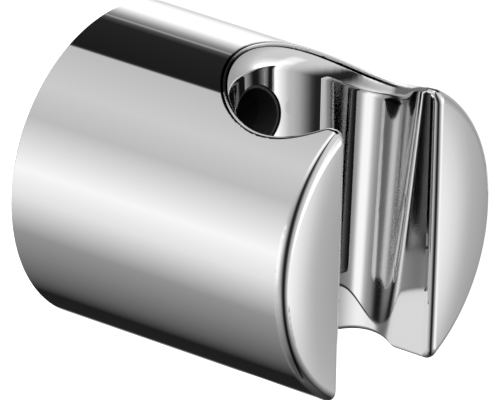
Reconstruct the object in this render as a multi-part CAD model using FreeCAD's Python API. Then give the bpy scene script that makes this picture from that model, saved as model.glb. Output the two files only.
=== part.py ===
import FreeCAD, Part
import math
import os

# Holder for a hand shower: one chrome-plated cylinder that stands out from the wall, with an
# upright conical socket near its front and a slot that lets the hose pass in from the front.
# A black moulding closes the hollow back and carries the wall screw, which is reached from the
# socket through a round hole.
#
# All sizes are millimetres. The wall is the plane y = 0 and the holder stands out towards -Y.
# Z is up and X is across. The origin is the centre of the back face.

# Outer cylinder
BODY_DIAMETER = 45.0
BODY_LENGTH = 48.8
FRONT_EDGE_RADIUS = 1.5
BACK_EDGE_BEVEL = 0.3

# Socket for the cone on the shower hose, with its axis set in from the front, and its slot
SOCKET_INSET = 11.8
SOCKET_TOP_DIAMETER = 27.1
SOCKET_BOTTOM_DIAMETER = 21.1
SLOT_WIDTH = 19.5
THROAT_RADIUS = 2.0
RIM_RADIUS = 0.9
LIP_RADIUS = 1.1

# Hollow of the moulded shell
OUTER_WALL = 2.6
SOCKET_WALL = 2.6
FRONT_WALL = 2.8
DRAFT_DEGREES = 0.5
HOLLOW_CORNER_BEVEL = 1.5

# Access hole for the wall screw, in the back wall of the socket
ACCESS_HEIGHT = 12.0
ACCESS_DIAMETER = 9.8

# Bosses inside the shell that take the two screws of the insert
BOSS_INSET = 10.0
BOSS_HEIGHT = -5.0
BOSS_DIAMETER = 7.0
BOSS_HOLE_DIAMETER = 2.5
BOSS_HOLE_DEPTH = 14.0
GUSSET_THICKNESS = 1.6

# Black insert in the back
FLANGE_THICKNESS = 3.0
INSERT_CLEARANCE = 0.3
INSERT_RIM_WALL = 1.8
INSERT_RIM_DEPTH = 10.0
TUBE_DIAMETER = 12.2
TUBE_BORE_DIAMETER = 8.2
SPIGOT_CLEARANCE = 0.15
SPIGOT_SETBACK = 0.25
SPIGOT_EDGE_THICKNESS = 0.35
LEAD_IN_DEPTH = 2.5
SEAT_THICKNESS = 4.0
WALL_SCREW_HOLE_DIAMETER = 5.2
RIB_THICKNESS = 1.8
RIB_DEPTH = 15.0
UPPER_RIB_HEIGHT = 2.0
LOWER_RIB_HEIGHT = -12.0

# Self-tapping screws that hold the insert
SCREW_DIAMETER = 2.9
SCREW_CORE_DIAMETER = 2.3
SCREW_LENGTH = 13.0
SCREW_POINT_LENGTH = 2.0
SCREW_HEAD_DIAMETER = 5.5
SCREW_HEAD_SINK = 0.2
SCREW_HEAD_CLEARANCE = 0.1
SCREW_HOLE_CLEARANCE = 0.2
RECESS_SPAN = 3.0
RECESS_WIDTH = 0.8
RECESS_DEPTH = 1.2

# How far a cutting tool reaches past the surface that it cuts, and how close counts as touching
OVERRUN = 2.0
TOUCHING = 0.001

BODY_RADIUS = BODY_DIAMETER / 2
SOCKET_SETBACK = BODY_LENGTH - SOCKET_INSET
HOLLOW_END = BODY_LENGTH - FRONT_WALL
JACKET_WIDTH = SOCKET_TOP_DIAMETER + 2 * SOCKET_WALL


def point(x, y, z=0.0):
    return FreeCAD.Vector(x, y, z)


CENTRE = point(0, 0)
FORWARD = point(0, -1)
UP = point(0, 0, 1)


def line(start, end):
    return Part.LineSegment(start, end).toShape()


def turned(edges, x=0.0, z=0.0):
    """A solid of revolution about a line square to the wall, from edges in the x-y plane."""
    solid = Part.Face(Part.Wire(edges)).revolve(CENTRE, FORWARD, 360)
    solid.translate(point(x, 0, z))
    return solid


def taper(back_radius, back, front, slope, x=0.0, z=0.0):
    """A round core between two distances from the wall that narrows forwards by a slope."""
    length = front - back
    front_radius = back_radius - slope * length
    if front_radius == back_radius:
        return Part.makeCylinder(back_radius, length, point(x, -back, z), FORWARD)
    return Part.makeCone(back_radius, front_radius, length, point(x, -back, z), FORWARD)


def rod(diameter, back, front, x=0.0, z=0.0):
    """A cylinder between two distances from the wall."""
    return taper(diameter / 2, back, front, 0.0, x, z)


def block(x_size, back, front, z_size, x=0.0, z=0.0):
    """A box centred on x and z, between two distances from the wall."""
    corner = point(x - x_size / 2, -front, z - z_size / 2)
    return Part.makeBox(x_size, front - back, z_size, corner)


def outline(corners):
    """The closed outline through some corners."""
    return [line(a, b) for a, b in zip(corners, corners[1:] + corners[:1])]


def plain_cylinder():
    """The outside before it is cut: a cylinder with a small bevel at the wall."""
    solid = turned(outline([
        CENTRE,
        point(BODY_RADIUS - BACK_EDGE_BEVEL, 0),
        point(BODY_RADIUS, -BACK_EDGE_BEVEL),
        point(BODY_RADIUS, -BODY_LENGTH),
        point(0, -BODY_LENGTH),
    ]))
    # The seam of the cylinder is turned to the bottom, where the slot interrupts it.
    solid.rotate(CENTRE, FORWARD, -90)
    return solid


def socket_radius(height):
    """Radius of the conical socket at a height."""
    share = (height + BODY_RADIUS) / BODY_DIAMETER
    diameter = SOCKET_BOTTOM_DIAMETER + share * (SOCKET_TOP_DIAMETER - SOCKET_BOTTOM_DIAMETER)
    return diameter / 2


def socket_cone(offset):
    """The cone of the socket, grown sideways by an offset, with its seam at the back."""
    reach = BODY_RADIUS + OVERRUN
    low = socket_radius(-reach) + offset
    high = socket_radius(reach) + offset
    cone = Part.makeCone(low, high, 2 * reach, point(0, 0, -reach), UP)
    cone.rotate(CENTRE, UP, 90)
    cone.translate(point(0, -SOCKET_SETBACK))
    return cone


def keyhole(offset=0.0):
    """The socket with the slot in front of it, as one cutting tool."""
    height = BODY_DIAMETER + 2 * OVERRUN
    slot = block(SLOT_WIDTH + 2 * offset, SOCKET_SETBACK, BODY_LENGTH + OVERRUN, height)
    return socket_cone(offset).fuse(slot)


def faces_wall(surface):
    """True for a plane or cylinder whose axis is square to the wall."""
    return surface.Axis.cross(FORWARD).Length < TOUCHING


def side_of(face):
    """Which side of the body a face belongs to."""
    surface = face.Surface
    if isinstance(surface, Part.Plane) and faces_wall(surface):
        return "front" if face.CenterOfMass.y < -BODY_LENGTH / 2 else "back"
    if isinstance(surface, Part.Cylinder) and faces_wall(surface):
        return "outside"
    if isinstance(surface, Part.Cone) and faces_wall(surface):
        return "bevel"
    return "keyhole"


def edge_radius(body, edge):
    """The rounding of an edge, from the two sides that meet there, or None."""
    if edge.Degenerated:
        return None
    radii = {
        ("front", "outside"): FRONT_EDGE_RADIUS,
        ("front", "keyhole"): LIP_RADIUS,
        ("keyhole", "outside"): RIM_RADIUS,
    }
    sides = {side_of(face) for face in body.ancestorsOfType(edge, Part.Face)}
    return radii.get(tuple(sorted(sides)))


def rounded(body):
    """The body with all its outer edges rounded at once, each with its own radius."""
    document = FreeCAD.newDocument("rounding")
    sharp = document.addObject("Part::Feature", "sharp")
    sharp.Shape = body
    fillet = document.addObject("Part::Fillet", "fillet")
    fillet.Base = sharp
    chosen = []
    for number, edge in enumerate(body.Edges, start=1):
        radius = edge_radius(body, edge)
        if radius:
            chosen.append((number, radius, radius))
    fillet.Edges = chosen
    document.recompute()
    result = fillet.Shape.copy()
    FreeCAD.closeDocument(document.Name)
    return result


def throat_edges(body):
    """The two upright edges where the socket meets the slot."""
    found = []
    for edge in body.Edges:
        faces = body.ancestorsOfType(edge, Part.Face)
        kinds = {type(face.Surface) for face in faces}
        if kinds == {Part.Cone, Part.Plane} and edge.CenterOfMass.y < -SOCKET_SETBACK:
            found.append(edge)
    return found


def outer_form():
    """The visible outside of the body, still solid."""
    body = plain_cylinder().cut(keyhole())
    body = body.makeFillet(THROAT_RADIUS, throat_edges(body))
    return rounded(body)


def hollow_slope():
    return math.tan(math.radians(DRAFT_DEGREES))


def hollow_radius(distance, wall=OUTER_WALL):
    """Radius of the drafted hollow at a distance from the wall."""
    return BODY_RADIUS - wall - hollow_slope() * distance


def hollow():
    """The space inside the shell, open at the back, that leaves a jacket round the socket."""
    corner = HOLLOW_END - HOLLOW_CORNER_BEVEL
    core = turned(outline([
        point(0, OVERRUN),
        point(hollow_radius(-OVERRUN), OVERRUN),
        point(hollow_radius(corner), -corner),
        point(hollow_radius(corner) - HOLLOW_CORNER_BEVEL, -HOLLOW_END),
        point(0, -HOLLOW_END),
    ]))
    front_jacket = block(JACKET_WIDTH, SOCKET_SETBACK, BODY_LENGTH, BODY_DIAMETER)
    return core.cut(socket_cone(SOCKET_WALL).fuse(front_jacket))


def boss_places():
    place = BODY_RADIUS - BOSS_INSET
    return [-place, place]


def screw_boss(x):
    """One boss with the gusset that ties it to the outer wall."""
    pillar = rod(BOSS_DIAMETER, FLANGE_THICKNESS, BODY_LENGTH - FRONT_WALL / 2, x, BOSS_HEIGHT)
    wall_middle = BODY_RADIUS - OUTER_WALL / 2
    reach = math.sqrt(wall_middle ** 2 - BOSS_HEIGHT ** 2) - abs(x)
    gusset_back = INSERT_RIM_DEPTH + INSERT_CLEARANCE
    gusset = block(
        reach,
        gusset_back,
        BODY_LENGTH - FRONT_WALL / 2,
        GUSSET_THICKNESS,
        math.copysign(abs(x) + reach / 2, x),
        BOSS_HEIGHT,
    )
    # Both end inside the wall of the socket.
    return pillar.fuse(gusset).cut(keyhole(SOCKET_WALL / 2))


def holder_body():
    """The chrome-plated shell with its socket, slot, bosses and access hole."""
    shell = outer_form().cut(hollow())
    for x in boss_places():
        shell = shell.fuse(screw_boss(x))
    for x in boss_places():
        depth = FLANGE_THICKNESS + BOSS_HOLE_DEPTH
        shell = shell.cut(rod(BOSS_HOLE_DIAMETER, 0, depth, x, BOSS_HEIGHT))
    shell = shell.cut(rod(ACCESS_DIAMETER, 0, SOCKET_SETBACK, 0, ACCESS_HEIGHT))
    return shell.removeSplitter()


def insert_cup():
    """The flange against the wall and the rim that centres it in the shell."""
    gap = OUTER_WALL + INSERT_CLEARANCE
    outside = taper(hollow_radius(0, gap), 0, INSERT_RIM_DEPTH, hollow_slope())
    inner_wall = gap + INSERT_RIM_WALL
    inner_radius = hollow_radius(FLANGE_THICKNESS, inner_wall)
    front = INSERT_RIM_DEPTH + OVERRUN
    return outside.cut(taper(inner_radius, FLANGE_THICKNESS, front, hollow_slope()))


def insert_ribs():
    """Ribs that stiffen the flange: one upright and two across, kept inside the rim."""
    inside = taper(
        hollow_radius(0, OUTER_WALL + INSERT_CLEARANCE + INSERT_RIM_WALL / 2),
        0,
        RIB_DEPTH,
        hollow_slope(),
    )
    upright = block(RIB_THICKNESS, 0, RIB_DEPTH, BODY_DIAMETER)
    upper = block(BODY_DIAMETER, 0, RIB_DEPTH, RIB_THICKNESS, 0, UPPER_RIB_HEIGHT)
    lower = block(BODY_DIAMETER, 0, RIB_DEPTH, RIB_THICKNESS, 0, LOWER_RIB_HEIGHT)
    return upright.fuse([upper, lower]).common(inside)


def screw_tube():
    """The tube that guides the wall screw, with the spigot that lines the access hole."""
    tube = rod(TUBE_DIAMETER, 0, SOCKET_SETBACK, 0, ACCESS_HEIGHT)
    tube = tube.cut(socket_cone(SOCKET_WALL + INSERT_CLEARANCE))
    spigot = rod(ACCESS_DIAMETER - 2 * SPIGOT_CLEARANCE, 0, SOCKET_SETBACK, 0, ACCESS_HEIGHT)
    return tube.fuse(spigot.cut(socket_cone(SPIGOT_SETBACK)))


def lead_in():
    """The widening of the bore towards the socket, which guides a screwdriver."""
    mouth = ACCESS_DIAMETER / 2 - SPIGOT_CLEARANCE - SPIGOT_EDGE_THICKNESS
    bore = TUBE_BORE_DIAMETER / 2
    front = SOCKET_SETBACK - socket_radius(ACCESS_HEIGHT)
    back = front - LEAD_IN_DEPTH
    slope = (mouth - bore) / LEAD_IN_DEPTH
    end = front + OVERRUN
    return taper(bore, back, end, -slope, 0, ACCESS_HEIGHT)


def wall_insert():
    """The black moulding in the back of the shell."""
    insert = insert_cup().fuse([insert_ribs(), screw_tube()])
    bore = rod(TUBE_BORE_DIAMETER, SEAT_THICKNESS, SOCKET_SETBACK, 0, ACCESS_HEIGHT)
    hole = rod(WALL_SCREW_HOLE_DIAMETER, -OVERRUN, SEAT_THICKNESS + OVERRUN, 0, ACCESS_HEIGHT)
    insert = insert.cut([bore, hole, lead_in()])
    for x in boss_places():
        insert = insert.cut(screw_seat(x))
    return insert.removeSplitter()


def screw_seat(x):
    """Clearance hole and countersink for one screw of the insert."""
    hole_diameter = SCREW_DIAMETER + 2 * SCREW_HOLE_CLEARANCE
    hole = rod(hole_diameter, -OVERRUN, FLANGE_THICKNESS + OVERRUN, x, BOSS_HEIGHT)
    mouth = SCREW_HEAD_DIAMETER / 2 + SCREW_HEAD_SINK + SCREW_HEAD_CLEARANCE
    depth = mouth - SCREW_CORE_DIAMETER / 2
    return hole.fuse(taper(mouth, 0, depth, 1.0, x, BOSS_HEIGHT))


def insert_screw(x):
    """One countersunk self-tapping screw, drawn at the core of its thread."""
    head = SCREW_HEAD_DIAMETER / 2
    core = SCREW_CORE_DIAMETER / 2
    back = SCREW_HEAD_SINK
    neck = back + head - core
    end = back + SCREW_LENGTH
    screw = turned(
        outline([
            point(0, -back),
            point(head, -back),
            point(core, -neck),
            point(core, -(end - SCREW_POINT_LENGTH)),
            point(0, -end),
        ]),
        x,
        BOSS_HEIGHT,
    )
    return screw.cut(cross_recess(x))


def cross_recess(x):
    """The cross in a screw's head."""
    deep = SCREW_HEAD_SINK + RECESS_DEPTH
    across = block(RECESS_SPAN, 0, deep, RECESS_WIDTH, x, BOSS_HEIGHT)
    upright = block(RECESS_WIDTH, 0, deep, RECESS_SPAN, x, BOSS_HEIGHT)
    return across.fuse(upright)


def insert_screws():
    return Part.makeCompound([insert_screw(x) for x in boss_places()])


def build():
    """Write one file for each piece."""
    os.makedirs("parts", exist_ok=True)
    pieces = {
        "holder_body": holder_body(),
        "wall_insert": wall_insert(),
        "insert_screws": insert_screws(),
    }
    for name, shape in pieces.items():
        shape.exportStep("parts/" + name + ".step")
    return pieces


if __name__ == "__main__":
    build()
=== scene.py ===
import math

import bpy
from bpy.props import FloatProperty, PointerProperty, StringProperty
from mathutils import Matrix, Vector


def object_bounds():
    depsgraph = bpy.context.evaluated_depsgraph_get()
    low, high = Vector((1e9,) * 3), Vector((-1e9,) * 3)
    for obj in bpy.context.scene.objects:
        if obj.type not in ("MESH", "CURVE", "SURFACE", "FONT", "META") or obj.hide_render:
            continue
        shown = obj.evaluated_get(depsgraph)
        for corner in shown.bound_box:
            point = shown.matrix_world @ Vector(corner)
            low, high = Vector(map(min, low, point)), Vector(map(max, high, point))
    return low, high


bl_info = {
    "name": "Hand shower holder",
    "version": (1, 0, 0),
    "blender": (4, 5, 0),
    "location": "3D View > Sidebar > Shower holder",
    "description": "Finishes, stage and camera for a chrome-plated hand shower holder",
    "category": "Object",
}

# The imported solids, in metres. The wall is the plane y = 0, the front faces -Y and Z is up.
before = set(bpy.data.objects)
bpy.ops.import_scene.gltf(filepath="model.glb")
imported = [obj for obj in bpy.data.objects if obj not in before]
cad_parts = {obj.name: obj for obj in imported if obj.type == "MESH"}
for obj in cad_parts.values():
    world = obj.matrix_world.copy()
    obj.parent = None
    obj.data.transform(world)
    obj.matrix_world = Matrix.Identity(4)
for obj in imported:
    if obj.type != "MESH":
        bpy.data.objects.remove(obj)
CAD_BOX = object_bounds()
MM = 0.001
FULL_TURN = 360.0
WHITE = (1.0, 1.0, 1.0, 1.0)

# Camera, as worked out from the outline of the cylinder. Angles are in degrees, distance and target
# in metres, lens and sensor in millimetres, and the shifts are shares of the picture's width.
CAMERA_AZIMUTH = 50.26
CAMERA_ELEVATION = 21.49
CAMERA_ROLL = 1.51
CAMERA_DISTANCE = 1.521
CAMERA_TARGET = (0.0, -0.02396, 0.0)
CAMERA_LENS = 799.7
CAMERA_SENSOR = 36.0
CAMERA_SHIFT_X = 0.0006
CAMERA_SHIFT_Y = 0.0018
CAMERA_CLIP = 0.1

# Lamp above the holder, in metres
LAMP_SIZE = 0.8
LAMP_PLACE = (-0.3, -0.4, 1.2)

# Glow that the floor has for the camera alone, which makes it white
FLOOR_GLOW = 0.45

# Typical values for the moulded black plastic and for zinc plating. The grain's depth is in
# millimetres.
PLASTIC_ROUGHNESS = 0.55
PLASTIC_IOR = 1.53
GRAIN_DETAIL = 3.0
GRAIN_STRENGTH = 0.25
GRAIN_DEPTH = 0.02
ZINC_ROUGHNESS = 0.32

# Sizes of the solids that the bends in the chrome start from, in millimetres. The socket's radius
# is the one at mid-height, and it grows upwards by the taper.
RADIUS = (CAD_BOX[1][0] - CAD_BOX[0][0]) / 2 / MM
FRONT = CAD_BOX[0][1] / MM
FRONT_EDGE = 1.5
SLOT_HALF_WIDTH = 9.75
SOCKET_AXIS = FRONT + 11.8
SOCKET_RADIUS = 12.05
SOCKET_TAPER = 0.0667

# The plated surface bends more softly than the solids do, and its shading alone draws that. All is
# in millimetres, and each pair holds where something starts and where it is full.
# The socket's wall opens towards its rim, below a narrow edge that stays as it is. The opening
# fades out along Y before the slot.
OPENING_DEPTH = 3.9
OPENING_EDGE = 0.12
OPENING_SLOPE = 0.28
OPENING_ENDS = (-44.0, -40.0)

# Each front face is slightly domed.
DOME_HEIGHT = 0.55

# Behind the sharp corner of cone and slot, the cone's normal turns into that of the slot's wall
# between the distances of CORNER_TURN. All that lies inside takes this soft normal between the
# distances of CORNER_WALL, as far as it is below the outside by CORNER_DEPTHS. Elsewhere, only
# points within CONE_NEARNESS of the cone do. The wall's normal leans to the front by SLOT_DRAFT.
CORNER_TURN = (3.5, -0.6)
CORNER_WALL = (1.0, 0.5)
CORNER_DEPTHS = (0.2, 1.5)
CONE_NEARNESS = (0.06, 0.03)
SLOT_DRAFT = 0.05

# The slot's walls are less smooth than the rest, which stands for fine waves of the moulding. This
# sets in along Y over SLOT_ENDS, inside the socket.
SLOT_ROUGHNESS = 0.09
SLOT_ENDS = (-35.0, -39.0)

# The studio that the chrome shows, as directions from the holder. Azimuths start behind the wall
# and turn by the holder's left side (seen from the front), its front and its right side.
# RING_ENDS, FLAG_REACH and WALL_ENDS hold the Y part of a direction of length 1 where something
# starts and where it is full. Stops and cards were picked after measures of the light
# that the reflections in the photograph show.
# Towards the wall, the light depends on the angle round the wall's normal, from straight up
# towards the left side. Each stop is an angle and the strength there.
TENT_RING = (
    (0.0, 0.92),  # roof
    (30.0, 1.07),
    (55.0, 0.90),
    (92.0, 1.67),  # long softbox at the left
    (112.0, 1.35),
    (140.0, 0.50),  # it falls off towards the floor
    (180.0, 0.19),
    (198.0, 0.02),  # dark flag under the back
    (226.0, 0.02),
    (243.0, 1.35),  # low softbox at the right
    (261.0, 0.80),
    (280.0, 1.75),  # high softbox at the right
    (298.0, 1.70),
    (310.0, 0.50),
    (313.9, 0.28),
    (314.7, 0.22),
    (315.1, 0.74),  # bright edge of the flag over the back
    (315.9, 0.74),
    (316.5, 0.13),
    (322.0, 0.03),  # the flag itself
    (353.7, 0.02),
    (353.9, 0.055),  # its faint other edge
    (354.4, 0.06),
    (355.0, 0.90),
)
RING_ENDS = (0.35, 0.55)

# In front, each side has its own strength by elevation, over half a turn from straight down.
LOWEST = -90.0
HALF_TURN = 180.0
LEFT_SIDE = (
    (-90.0, 0.12),  # dark floor
    (-72.0, 0.15),
    (-64.0, 0.30),
    (-56.0, 0.40),
    (-44.0, 0.61),
    (-36.0, 0.77),
    (-28.0, 0.98),
    (-20.0, 0.92),
    (32.0, 0.88),
    (40.0, 0.95),
    (48.0, 1.15),
    (56.0, 1.55),
    (62.0, 1.75),  # roof
)
RIGHT_SIDE = (
    (-90.0, 0.18),
    (-72.0, 0.12),
    (-64.0, 0.05),  # dark floor
    (-56.0, 0.17),
    (-44.0, 0.41),
    (-32.0, 0.66),
    (-24.0, 0.88),
    (-8.0, 0.94),
    (10.0, 1.02),
    (60.0, 1.12),
)

# The right side's strength is also multiplied by a factor that goes by azimuth.
RIGHT_FADE = (
    (225.0, 1.0),
    (240.0, 0.77),
    (256.0, 0.57),
    (264.0, 0.58),
    (276.0, 0.72),
    (325.0, 0.72),
    (360.0, 1.45),
)

# The sides part at the dark slit where the camera stands. It leans, and its stops are degrees of
# azimuth from its middle.
SLIT_AZIMUTH = 132.0
SLIT_LEAN = -0.27
SLIT_START = -56.0
SLIT_DARK = (-7.0, 6.0)
SLIT = (
    (SLIT_START, 1.0),
    (-45.0, 0.91),
    (-29.0, 0.67),
    (-21.0, 0.42),
    (-13.0, 0.11),
    (SLIT_DARK[0], 0.03),
    (SLIT_DARK[1], 0.03),
    (11.0, 0.08),
    (18.0, 0.32),
    (26.0, 0.66),
    (34.0, 0.88),
    (44.0, 1.0),
)

# Softboxes and one flag in front of the holder. Each has its azimuths and its elevations (where it
# starts, is full, starts to end and has ended) and the light that it adds or the share it takes.
SOFTBOXES = (
    ((20.0, 40.0, 70.0, 110.0), (-30.0, -8.0, 4.0, 26.0), 0.87),  # long, at the left
    ((172.0, 192.0, 210.0, 236.0), (-38.0, -23.0, 6.0, 30.0), 0.74),  # right of the camera
    ((184.0, 200.0, 212.0, 228.0), (-17.0, -9.0, 2.0, 12.0), 1.30),  # its bright middle
    ((174.0, 183.0, 190.0, 200.0), (4.0, 20.0, 34.0, 46.0), 0.50),  # upright strip above it
    ((258.0, 268.0, 296.0, 304.0), (-36.0, -28.0, -22.0, -14.0), 0.90),  # low strip at the right
)
SIDE_FLAG = ((256.0, 268.0, 298.0, 312.0), (34.0, 42.0, 62.0, 72.0), 0.92)

# The dark flag over the back, by the angle round the wall's normal. It reaches forward of the
# holder, to where it fades out.
FLAG_RING = (308.0, 322.0, 352.0, 356.0)
FLAG_REACH = (-0.42, -0.20)

# Straight towards the wall, the light stays dim.
WALL_ENDS = (0.66, 0.80)
WALL_LIGHT = (0.25, 0.25, 0.25, 1.0)


def linear(hex_colour):
    """An sRGB hex colour as linear red, green, blue and alpha."""
    channels = [int(hex_colour[i:i + 2], 16) / 255 for i in (1, 3, 5)]
    levels = [c / 12.92 if c <= 0.04045 else ((c + 0.055) / 1.055) ** 2.4 for c in channels]
    return (*levels, 1.0)


def add_node(tree, kind, inputs=None, **settings):
    """Add a node with its settings. An input takes a value, a link or a node's first output."""
    node = tree.nodes.new(kind)
    for name, value in settings.items():
        setattr(node, name, value)
    for key, value in (inputs or {}).items():
        if isinstance(value, bpy.types.Node):
            value = value.outputs[0]
        if isinstance(value, bpy.types.NodeSocket):
            tree.links.new(value, node.inputs[key])
        else:
            node.inputs[key].default_value = value
    return node


def new_material(name):
    """An empty material and its node tree."""
    material = bpy.data.materials.new(name)
    material.use_nodes = True
    material.node_tree.nodes.clear()
    return material, material.node_tree


def bend(tree, height, share, normal):
    """Bend a normal by a height in millimetres, as far as a share from 0 to 1 says."""
    bump = add_node(tree, "ShaderNodeBump", {
        "Strength": 1.0, "Distance": MM, "Height": height, "Normal": normal})
    mixed = add_node(tree, "ShaderNodeMixRGB", {"Fac": share, "Color1": normal, "Color2": bump})
    return add_node(tree, "ShaderNodeVectorMath", {0: mixed}, operation="NORMALIZE")


def opening_height(tree, depth):
    """How far the socket's wall stands back near the rim, from the depth below the outside."""
    depth = add_node(tree, "ShaderNodeMath", {0: depth, 1: OPENING_EDGE}, operation="MAXIMUM")
    part = add_node(tree, "ShaderNodeMath", {0: OPENING_DEPTH, 1: depth}, operation="SUBTRACT")
    part = add_node(tree, "ShaderNodeMath", {0: part, 1: 0.0}, operation="MAXIMUM")
    square = add_node(tree, "ShaderNodeMath", {0: part, 1: part}, operation="MULTIPLY")
    back = -OPENING_SLOPE / 2
    return add_node(tree, "ShaderNodeMath", {0: square, 1: back}, operation="MULTIPLY")


def dome_height(tree, across, x, z):
    """How far a front face stands out, highest between its round edge and the slot."""
    square = add_node(tree, "ShaderNodeMath", {0: z, 1: z}, operation="MULTIPLY")
    inside = add_node(tree, "ShaderNodeMath", {0: across, 1: square}, operation="SUBTRACT")
    inside = add_node(tree, "ShaderNodeMath", {0: inside, 1: 0.0}, operation="MAXIMUM")
    width = add_node(tree, "ShaderNodeMath", {0: x}, operation="ABSOLUTE")
    beside = add_node(tree, "ShaderNodeMath", {0: width, 1: SLOT_HALF_WIDTH}, operation="SUBTRACT")
    beside = add_node(tree, "ShaderNodeMath", {0: beside, 1: 0.0}, operation="MAXIMUM")
    dome = add_node(tree, "ShaderNodeMath", {0: inside, 1: beside}, operation="MULTIPLY")
    middle = (RADIUS + SLOT_HALF_WIDTH) / 2
    full = (RADIUS ** 2 - middle ** 2) * (middle - SLOT_HALF_WIDTH)
    return add_node(tree, "ShaderNodeMath", {0: dome, 1: DOME_HEIGHT / full}, operation="MULTIPLY")


def socket_normal(tree, x, y, z, inside, normal):
    """The normal of the socket's cone, which turns softly into that of the slot's wall."""
    radius = add_node(tree, "ShaderNodeMath", {0: z, 1: SOCKET_TAPER, 2: SOCKET_RADIUS},
                      operation="MULTIPLY_ADD")
    ahead = add_node(tree, "ShaderNodeMath", {0: y, 1: SOCKET_AXIS}, operation="SUBTRACT")
    level = add_node(tree, "ShaderNodeCombineXYZ", {0: x, 1: ahead})
    reach = add_node(tree, "ShaderNodeVectorMath", {0: level}, operation="LENGTH").outputs["Value"]
    lean = add_node(tree, "ShaderNodeMath", {0: reach, 1: -SOCKET_TAPER}, operation="MULTIPLY")
    cone = add_node(tree, "ShaderNodeCombineXYZ", {0: x, 1: ahead, 2: lean})
    cone = add_node(tree, "ShaderNodeVectorMath", {0: cone}, operation="NORMALIZE")
    side = add_node(tree, "ShaderNodeMath", {0: x}, operation="SIGN")
    wall = add_node(tree, "ShaderNodeCombineXYZ", {0: side, 1: SLOT_DRAFT})

    square = add_node(tree, "ShaderNodeMath", {0: radius, 1: radius}, operation="MULTIPLY")
    square = add_node(tree, "ShaderNodeMath", {0: square, 1: SLOT_HALF_WIDTH ** 2},
                      operation="SUBTRACT")
    square = add_node(tree, "ShaderNodeMath", {0: square, 1: 0.0}, operation="MAXIMUM")
    corner = add_node(tree, "ShaderNodeMath", {0: square}, operation="SQRT")
    behind = add_node(tree, "ShaderNodeMath", {0: ahead, 1: corner}, operation="ADD")
    turned = add_node(tree, "ShaderNodeMapRange", {
        "Value": behind,
        "From Min": CORNER_TURN[0],
        "From Max": CORNER_TURN[1],
    }, interpolation_type="SMOOTHSTEP")
    outwards = add_node(tree, "ShaderNodeMixRGB", {"Fac": turned, "Color1": cone, "Color2": wall})
    outwards = add_node(tree, "ShaderNodeVectorMath", {0: outwards}, operation="NORMALIZE")
    inwards = add_node(tree, "ShaderNodeVectorMath", {0: outwards, "Scale": -1.0},
                       operation="SCALE")

    off = add_node(tree, "ShaderNodeMath", {0: reach, 1: radius}, operation="SUBTRACT")
    off = add_node(tree, "ShaderNodeMath", {0: off}, operation="ABSOLUTE")
    on_cone = add_node(tree, "ShaderNodeMapRange", {
        "Value": off,
        "From Min": CONE_NEARNESS[0],
        "From Max": CONE_NEARNESS[1],
    }, interpolation_type="SMOOTHSTEP")
    on_wall = add_node(tree, "ShaderNodeMapRange", {
        "Value": behind,
        "From Min": CORNER_WALL[0],
        "From Max": CORNER_WALL[1],
    }, interpolation_type="SMOOTHSTEP")
    on_wall = add_node(tree, "ShaderNodeMath", {0: on_wall, 1: inside}, operation="MULTIPLY")
    share = add_node(tree, "ShaderNodeMath", {0: on_cone, 1: on_wall}, operation="MAXIMUM")
    return add_node(tree, "ShaderNodeMixRGB", {"Fac": share, "Color1": normal, "Color2": inwards})


def place_in_mm(tree):
    """The three coordinates on the piece, in millimetres."""
    place = add_node(tree, "ShaderNodeTexCoord")
    scaled = add_node(tree, "ShaderNodeVectorMath", {0: place.outputs["Object"], "Scale": 1 / MM},
                      operation="SCALE")
    return add_node(tree, "ShaderNodeSeparateXYZ", {0: scaled}).outputs


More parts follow.
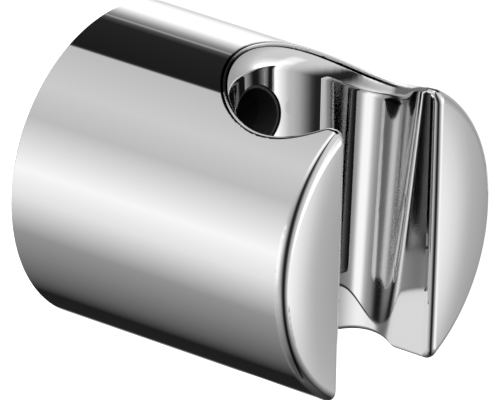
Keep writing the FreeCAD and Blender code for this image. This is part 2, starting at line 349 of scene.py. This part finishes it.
def chrome_plating(finish):
    """Bright chrome plating on moulded ABS: a hard, neutral mirror with a few soft bends."""
    material, tree = new_material("chrome_plating")
    x, y, z = place_in_mm(tree)
    across = add_node(tree, "ShaderNodeMath", {0: x, 1: x}, operation="MULTIPLY")
    across = add_node(tree, "ShaderNodeMath", {0: RADIUS ** 2, 1: across}, operation="SUBTRACT")
    surface = add_node(tree, "ShaderNodeMath", {0: across, 1: 0.0}, operation="MAXIMUM")
    surface = add_node(tree, "ShaderNodeMath", {0: surface}, operation="SQRT")

    # Which parts of the surface bend: the front faces, the inside and the top of the socket
    at_front = add_node(tree, "ShaderNodeMath", {0: y, 1: FRONT + FRONT_EDGE},
                        operation="LESS_THAN")
    behind = add_node(tree, "ShaderNodeMath", {0: 1.0, 1: at_front}, operation="SUBTRACT")
    height = add_node(tree, "ShaderNodeMath", {0: z}, operation="ABSOLUTE")
    depth = add_node(tree, "ShaderNodeMath", {0: surface, 1: height}, operation="SUBTRACT")
    below = add_node(tree, "ShaderNodeMapRange", {
        "Value": depth,
        "From Min": CORNER_DEPTHS[0],
        "From Max": CORNER_DEPTHS[1],
    }, interpolation_type="SMOOTHSTEP")
    inside = add_node(tree, "ShaderNodeMath", {0: below, 1: behind}, operation="MULTIPLY")
    upper = add_node(tree, "ShaderNodeMath", {0: z, 1: RADIUS / 2}, operation="GREATER_THAN")
    opened = add_node(tree, "ShaderNodeMapRange", {
        "Value": y,
        "From Min": OPENING_ENDS[0],
        "From Max": OPENING_ENDS[1],
    }, interpolation_type="SMOOTHSTEP")
    at_socket = add_node(tree, "ShaderNodeMath", {0: upper, 1: opened}, operation="MULTIPLY")

    normal = add_node(tree, "ShaderNodeNewGeometry").outputs["Normal"]
    normal = socket_normal(tree, x, y, z, inside, normal)
    under_rim = add_node(tree, "ShaderNodeMath", {0: surface, 1: z}, operation="SUBTRACT")
    normal = bend(tree, opening_height(tree, under_rim), at_socket, normal)
    normal = bend(tree, dome_height(tree, across, x, z), at_front, normal)

    slot = add_node(tree, "ShaderNodeMapRange", {
        "Value": y,
        "From Min": SLOT_ENDS[0],
        "From Max": SLOT_ENDS[1],
    }, interpolation_type="SMOOTHSTEP")
    in_slot = add_node(tree, "ShaderNodeMath", {0: slot, 1: inside}, operation="MULTIPLY")
    roughness = add_node(tree, "ShaderNodeMapRange", {
        "Value": in_slot,
        "To Min": finish.chrome_roughness,
        "To Max": SLOT_ROUGHNESS,
    })
    shader = add_node(tree, "ShaderNodeBsdfPrincipled", {
        "Base Color": linear(finish.chrome_colour),
        "Metallic": 1.0,
        "Roughness": roughness,
        "Normal": normal,
    })
    add_node(tree, "ShaderNodeOutputMaterial", {"Surface": shader})
    return material


def black_plastic(finish):
    """Black moulded ABS with a fine spark-eroded grain: it spreads light and hardly shines."""
    material, tree = new_material("black_plastic")
    place = add_node(tree, "ShaderNodeTexCoord")
    grain = add_node(tree, "ShaderNodeTexNoise", {
        "Vector": place.outputs["Object"],
        "Scale": 1 / (finish.grain_width * MM),
        "Detail": GRAIN_DETAIL,
    })
    bump = add_node(tree, "ShaderNodeBump", {
        "Strength": GRAIN_STRENGTH,
        "Distance": GRAIN_DEPTH * MM,
        "Height": grain,
    })
    shader = add_node(tree, "ShaderNodeBsdfPrincipled", {
        "Base Color": linear(finish.plastic_colour),
        "Roughness": PLASTIC_ROUGHNESS,
        "IOR": PLASTIC_IOR,
        "Normal": bump,
    })
    add_node(tree, "ShaderNodeOutputMaterial", {"Surface": shader})
    return material


def zinc_plated_steel(finish):
    """Zinc-plated steel, as on small screws: a pale, slightly blue metal with a soft shine."""
    material, tree = new_material("zinc_plated_steel")
    shader = add_node(tree, "ShaderNodeBsdfPrincipled", {
        "Base Color": linear(finish.screw_colour),
        "Metallic": 1.0,
        "Roughness": ZINC_ROUGHNESS,
    })
    add_node(tree, "ShaderNodeOutputMaterial", {"Surface": shader})
    return material


def dress(node_name, material):
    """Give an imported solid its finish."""
    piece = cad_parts[node_name]
    piece.data.materials.clear()
    piece.data.materials.append(material)


def make_floor(stage):
    """A pale floor that keeps the holder's shadow and is white to the camera."""
    half = stage.floor_size / 2
    corners = [(-half, -half), (half, -half), (half, half), (-half, half)]
    mesh = bpy.data.meshes.new("floor")
    mesh.from_pydata([(x, y, -stage.floor_drop) for x, y in corners], [], [(0, 1, 2, 3)])
    floor = bpy.data.objects.new("floor", mesh)
    bpy.context.scene.collection.objects.link(floor)
    material, tree = new_material("floor_paint")
    path = add_node(tree, "ShaderNodeLightPath")
    paint = add_node(tree, "ShaderNodeBsdfDiffuse", {"Color": linear(stage.floor_colour)})
    glow = add_node(tree, "ShaderNodeMath", {0: path.outputs["Is Camera Ray"], 1: FLOOR_GLOW},
                    operation="MULTIPLY")
    glow = add_node(tree, "ShaderNodeEmission", {"Strength": glow})
    both = add_node(tree, "ShaderNodeAddShader", {0: paint, 1: glow})
    # Seen from below, the floor lets the view through.
    side = add_node(tree, "ShaderNodeNewGeometry")
    clear = add_node(tree, "ShaderNodeBsdfTransparent")
    mix = add_node(tree, "ShaderNodeMixShader", {0: side.outputs["Backfacing"], 1: both, 2: clear})
    add_node(tree, "ShaderNodeOutputMaterial", {"Surface": mix})
    mesh.materials.append(material)
    # The tent stands in for the floor in the chrome, so that its underside stays dark.
    floor.visible_glossy = False


def turn_angle(tree, sideways, ahead):
    """The angle from one axis towards another, from 0 to 360 degrees."""
    angle = add_node(tree, "ShaderNodeMath", {0: sideways, 1: ahead}, operation="ARCTAN2")
    share = add_node(tree, "ShaderNodeMath", {0: angle, 1: math.tau}, operation="DIVIDE")
    share = add_node(tree, "ShaderNodeMath", {0: share}, operation="FRACT")
    return add_node(tree, "ShaderNodeMath", {0: share, 1: FULL_TURN}, operation="MULTIPLY")


def strength_at(tree, angle, stops, start=0.0, span=FULL_TURN):
    """The strength that some stops give at an angle, over a range of degrees."""
    share = add_node(tree, "ShaderNodeMapRange", {
        "Value": angle, "From Min": start, "From Max": start + span})
    ramp = add_node(tree, "ShaderNodeValToRGB", {"Fac": share})
    elements = ramp.color_ramp.elements
    elements.remove(elements[-1])
    for number, (stop, strength) in enumerate(stops):
        place = (stop - start) / span
        element = elements[0] if number == 0 else elements.new(place)
        element.position = place
        element.color = (strength, strength, strength, 1.0)
    return ramp


def window(tree, angle, bounds):
    """A soft step from 0 up to 1 and down again."""
    start, full, end, gone = bounds
    rise = add_node(tree, "ShaderNodeMapRange", {
        "Value": angle, "From Min": start, "From Max": full}, interpolation_type="SMOOTHSTEP")
    fall = add_node(tree, "ShaderNodeMapRange", {
        "Value": angle, "From Min": gone, "From Max": end}, interpolation_type="SMOOTHSTEP")
    return add_node(tree, "ShaderNodeMath", {0: rise, 1: fall}, operation="MULTIPLY")


def soft_card(tree, azimuth, elevation, bounds):
    """One softbox or flag, from its bounds and strength."""
    azimuths, elevations, strength = bounds
    across = window(tree, azimuth, azimuths)
    upright = window(tree, elevation, elevations)
    card = add_node(tree, "ShaderNodeMath", {0: across, 1: upright}, operation="MULTIPLY")
    return add_node(tree, "ShaderNodeMath", {0: card, 1: strength}, operation="MULTIPLY")


def front_light(tree, azimuth, elevation):
    """The light in front of the holder, from its azimuth and elevation in degrees."""
    left = strength_at(tree, elevation, LEFT_SIDE, LOWEST, HALF_TURN)
    right = strength_at(tree, elevation, RIGHT_SIDE, LOWEST, HALF_TURN)
    fade = strength_at(tree, azimuth, RIGHT_FADE)
    right = add_node(tree, "ShaderNodeMath", {0: right, 1: fade}, operation="MULTIPLY")
    middle = add_node(tree, "ShaderNodeMath", {0: elevation, 1: SLIT_LEAN, 2: SLIT_AZIMUTH},
                      operation="MULTIPLY_ADD")
    off = add_node(tree, "ShaderNodeMath", {0: azimuth, 1: middle}, operation="SUBTRACT")
    side = add_node(tree, "ShaderNodeMapRange", {
        "Value": off,
        "From Min": SLIT_DARK[0],
        "From Max": SLIT_DARK[1],
    }, interpolation_type="SMOOTHSTEP")
    light = add_node(tree, "ShaderNodeMixRGB", {"Fac": side, "Color1": left, "Color2": right})
    slit = strength_at(tree, off, SLIT, SLIT_START)
    light = add_node(tree, "ShaderNodeMath", {0: light, 1: slit}, operation="MULTIPLY")
    for bounds in SOFTBOXES:
        card = soft_card(tree, azimuth, elevation, bounds)
        light = add_node(tree, "ShaderNodeMath", {0: light, 1: card}, operation="ADD")
    shade = soft_card(tree, azimuth, elevation, SIDE_FLAG)
    kept = add_node(tree, "ShaderNodeMath", {0: 1.0, 1: shade}, operation="SUBTRACT")
    return add_node(tree, "ShaderNodeMath", {0: light, 1: kept}, operation="MULTIPLY")


def make_tent(scene):
    """A light tent round the holder: white to the camera, softboxes and flags to the chrome."""
    world = bpy.data.worlds.new("light_tent")
    world.use_nodes = True
    tree = world.node_tree
    tree.nodes.clear()
    scene.world = world
    place = add_node(tree, "ShaderNodeTexCoord")
    x, y, z = add_node(tree, "ShaderNodeSeparateXYZ", {0: place.outputs["Generated"]}).outputs
    left = add_node(tree, "ShaderNodeMath", {0: x, 1: -1.0}, operation="MULTIPLY")
    azimuth = turn_angle(tree, left, y)
    elevation = add_node(tree, "ShaderNodeMath", {0: z}, operation="ARCSINE")
    elevation = add_node(tree, "ShaderNodeMath", {0: elevation}, operation="DEGREES")

    # In front, under the flag that reaches forward over the holder
    ring = turn_angle(tree, left, z)
    reach = add_node(tree, "ShaderNodeMapRange", {
        "Value": y,
        "From Min": FLAG_REACH[0],
        "From Max": FLAG_REACH[1],
    }, interpolation_type="SMOOTHSTEP")
    flag = window(tree, ring, FLAG_RING)
    flag = add_node(tree, "ShaderNodeMath", {0: flag, 1: reach}, operation="MULTIPLY")
    kept = add_node(tree, "ShaderNodeMath", {0: 1.0, 1: flag}, operation="SUBTRACT")
    ahead = front_light(tree, azimuth, elevation)
    ahead = add_node(tree, "ShaderNodeMath", {0: ahead, 1: kept}, operation="MULTIPLY")

    # Behind, where the ring closes at its first stop's strength
    behind = strength_at(tree, ring, TENT_RING + ((FULL_TURN, TENT_RING[0][1]),))
    back = add_node(tree, "ShaderNodeMapRange", {
        "Value": y,
        "From Min": RING_ENDS[0],
        "From Max": RING_ENDS[1],
    }, interpolation_type="SMOOTHSTEP")
    tent = add_node(tree, "ShaderNodeMixRGB", {"Fac": back, "Color1": ahead, "Color2": behind})
    near_wall = add_node(tree, "ShaderNodeMapRange", {
        "Value": y,
        "From Min": WALL_ENDS[0],
        "From Max": WALL_ENDS[1],
    }, interpolation_type="SMOOTHSTEP")
    tent = add_node(tree, "ShaderNodeMixRGB", {
        "Fac": near_wall, "Color1": tent, "Color2": WALL_LIGHT})

    path = add_node(tree, "ShaderNodeLightPath")
    shown = add_node(tree, "ShaderNodeMixRGB", {
        "Fac": path.outputs["Is Camera Ray"], "Color1": tent, "Color2": WHITE})
    light = add_node(tree, "ShaderNodeBackground", {"Color": shown, "Strength": 1.0})
    add_node(tree, "ShaderNodeOutputWorld", {"Surface": light})


def make_lamp(stage):
    """One wide soft lamp above, for the shadow and the black moulding."""
    data = bpy.data.lights.new("soft_lamp", "AREA")
    data.energy = stage.lamp_power
    data.size = LAMP_SIZE
    lamp = bpy.data.objects.new("soft_lamp", data)
    lamp.location = LAMP_PLACE
    lamp.rotation_euler = (-lamp.location).to_track_quat("-Z", "Y").to_euler()
    # The chrome shows the tent alone.
    lamp.visible_glossy = False
    bpy.context.scene.collection.objects.link(lamp)


def make_camera(scene):
    """The camera, at the photograph's place."""
    azimuth, elevation, roll = map(math.radians, (CAMERA_AZIMUTH, CAMERA_ELEVATION, CAMERA_ROLL))
    back = Vector((
        -math.sin(azimuth) * math.cos(elevation),
        -math.cos(azimuth) * math.cos(elevation),
        math.sin(elevation),
    ))
    level = Vector((math.cos(azimuth), -math.sin(azimuth), 0.0))
    upright = back.cross(level)
    right = math.cos(roll) * level + math.sin(roll) * upright
    up = math.cos(roll) * upright - math.sin(roll) * level
    data = bpy.data.cameras.new("camera")
    data.lens = CAMERA_LENS
    data.sensor_width = CAMERA_SENSOR
    data.shift_x = CAMERA_SHIFT_X
    data.shift_y = CAMERA_SHIFT_Y
    data.clip_start = CAMERA_CLIP
    camera = bpy.data.objects.new("camera", data)
    turn = Matrix((right, up, back)).transposed().to_4x4()
    place = Vector(CAMERA_TARGET) + CAMERA_DISTANCE * back
    camera.matrix_world = Matrix.Translation(place) @ turn
    scene.collection.objects.link(camera)
    scene.camera = camera


class HolderFinish(bpy.types.PropertyGroup):
    """Colours and surface of the three pieces."""

    chrome_colour: StringProperty(
        name="Chrome", description="sRGB hex colour of the chrome plating", default="#C5C5C5")
    chrome_roughness: FloatProperty(
        name="Chrome roughness", description="Blur of the reflections in the chrome",
        default=0.015, min=0.0, max=1.0, subtype="FACTOR")
    plastic_colour: StringProperty(
        name="Insert", description="sRGB hex colour of the black moulding", default="#1A1A1B")
    grain_width: FloatProperty(
        name="Grain", description="Width of the grain on the black moulding, in millimetres",
        default=0.25, min=0.05, max=2.0)
    screw_colour: StringProperty(
        name="Screws", description="sRGB hex colour of the zinc on the screws", default="#B9BEC4")


class HolderStage(bpy.types.PropertyGroup):
    """Floor and lamp."""

    floor_drop: FloatProperty(
        name="Floor drop", description="Height of the holder's axis above the floor",
        default=0.14, min=0.03, max=1.0, unit="LENGTH")
    floor_size: FloatProperty(
        name="Floor size", description="Width of the floor", default=12.0, min=1.0, unit="LENGTH")
    floor_colour: StringProperty(
        name="Floor", description="sRGB hex colour of the floor", default="#F4F4F4")
    lamp_power: FloatProperty(
        name="Lamp power", description="Power of the soft lamp above the holder",
        default=12.0, min=0.0, unit="POWER")


class HOLDER_OT_body(bpy.types.Operator):
    """Give the shell its chrome plating"""

    bl_idname = "holder.body"
    bl_label = "Chrome-plated shell"

    def execute(self, context):
        dress("holder_body", chrome_plating(context.scene.holder_finish))
        return {"FINISHED"}


class HOLDER_OT_insert(bpy.types.Operator):
    """Give the wall insert its black moulded finish"""

    bl_idname = "holder.insert"
    bl_label = "Wall insert"

    def execute(self, context):
        dress("wall_insert", black_plastic(context.scene.holder_finish))
        return {"FINISHED"}


class HOLDER_OT_screws(bpy.types.Operator):
    """Give the two small screws their zinc plating"""

    bl_idname = "holder.screws"
    bl_label = "Insert screws"

    def execute(self, context):
        dress("insert_screws", zinc_plated_steel(context.scene.holder_finish))
        return {"FINISHED"}


class HOLDER_OT_stage(bpy.types.Operator):
    """Set up the floor, the light tent, the lamp and the camera"""

    bl_idname = "holder.stage"
    bl_label = "Stage and camera"

    def execute(self, context):
        stage = context.scene.holder_stage
        make_floor(stage)
        make_tent(context.scene)
        make_lamp(stage)
        make_camera(context.scene)
        context.scene.view_settings.view_transform = "Standard"
        return {"FINISHED"}


class HOLDER_PT_panel(bpy.types.Panel):
    """The holder's finishes and stage"""

    bl_label = "Hand shower holder"
    bl_space_type = "VIEW_3D"
    bl_region_type = "UI"
    bl_category = "Shower holder"

    def draw(self, context):
        finish = context.scene.holder_finish
        stage = context.scene.holder_stage
        for name in ("chrome_colour", "chrome_roughness", "plastic_colour", "grain_width",
                     "screw_colour"):
            self.layout.prop(finish, name)
        for name in ("floor_drop", "floor_size", "floor_colour", "lamp_power"):
            self.layout.prop(stage, name)
        for operator in OPERATORS:
            self.layout.operator(operator.bl_idname)


OPERATORS = (HOLDER_OT_body, HOLDER_OT_insert, HOLDER_OT_screws, HOLDER_OT_stage)
CLASSES = (HolderFinish, HolderStage, *OPERATORS, HOLDER_PT_panel)


def register():
    for cls in CLASSES:
        bpy.utils.register_class(cls)
    bpy.types.Scene.holder_finish = PointerProperty(type=HolderFinish)
    bpy.types.Scene.holder_stage = PointerProperty(type=HolderStage)


def unregister():
    del bpy.types.Scene.holder_stage
    del bpy.types.Scene.holder_finish
    for cls in reversed(CLASSES):
        bpy.utils.unregister_class(cls)


def main():
    register()
    bpy.ops.holder.body()
    bpy.ops.holder.insert()
    bpy.ops.holder.screws()
    bpy.ops.holder.stage()


if __name__ == "__main__":
    main()
